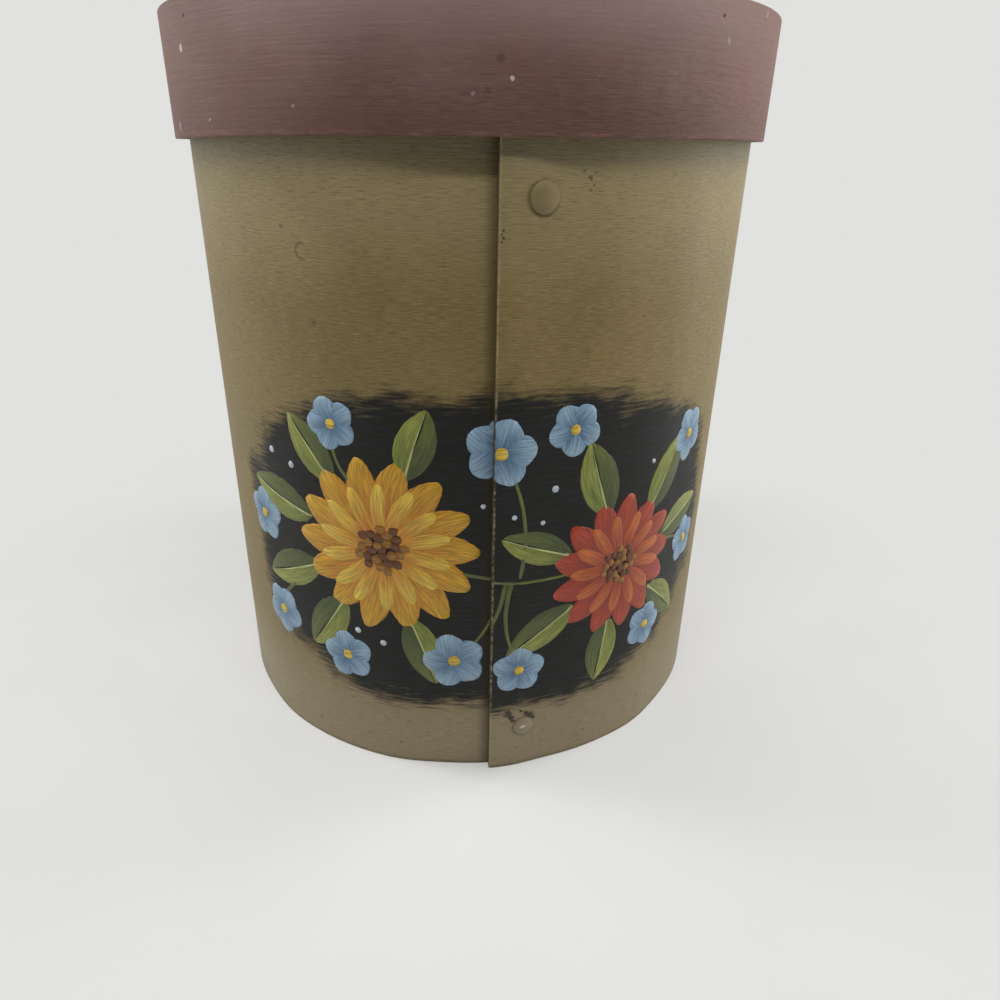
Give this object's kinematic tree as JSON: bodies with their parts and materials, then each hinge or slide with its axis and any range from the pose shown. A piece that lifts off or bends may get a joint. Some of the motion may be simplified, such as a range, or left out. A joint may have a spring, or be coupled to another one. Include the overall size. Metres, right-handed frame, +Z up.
{
  "type": "bentwood pantry box",
  "caption": "Round lidded storage box of thin bent wood: a tall lapped and riveted band with a recessed bottom, and a deep band lid that lifts straight off.",
  "frame": {"origin": "centre of the body band's inside, at the plane of its lower edge, which the box stands on", "axes": "+Z up along the box, -Y the front, where the outer end of the body's lap shows, +X to the right seen from the front"},
  "size_m": [0.1867, 0.1853, 0.2201],
  "materials": {
    "khaki_painted_wood": "satin khaki paint over grain",
    "bare_wood": "bare, smooth",
    "maroon_painted_wood": "satin dusty maroon paint over grain",
    "khaki_painted_steel": "satin paint",
    "maroon_painted_steel": "satin paint",
    "rivet_steel": "plain",
    "brad_steel": "dull, darkened"
  },
  "bodies": {
    "box": {"body_band": "khaki_painted_wood", "bottom_panel": "bare_wood", "bottom_brads": "brad_steel", "upper_seam_rivet": "khaki_painted_steel", "upper_rivet_back_cap": "rivet_steel", "lower_seam_rivet": "khaki_painted_steel", "lower_rivet_back_cap": "rivet_steel"},
    "lid": {"lid_band": "maroon_painted_wood", "lid_panel": "maroon_painted_wood", "lid_brads": "brad_steel", "lid_seam_rivet": "maroon_painted_steel", "lid_rivet_back_cap": "rivet_steel"}
  },
  "joints": [
    {"name": "lid_lift", "type": "slide", "parent": "box", "child": "lid", "axis": [0, 0, 1], "range_m": [0, 0.25]}
  ]
}
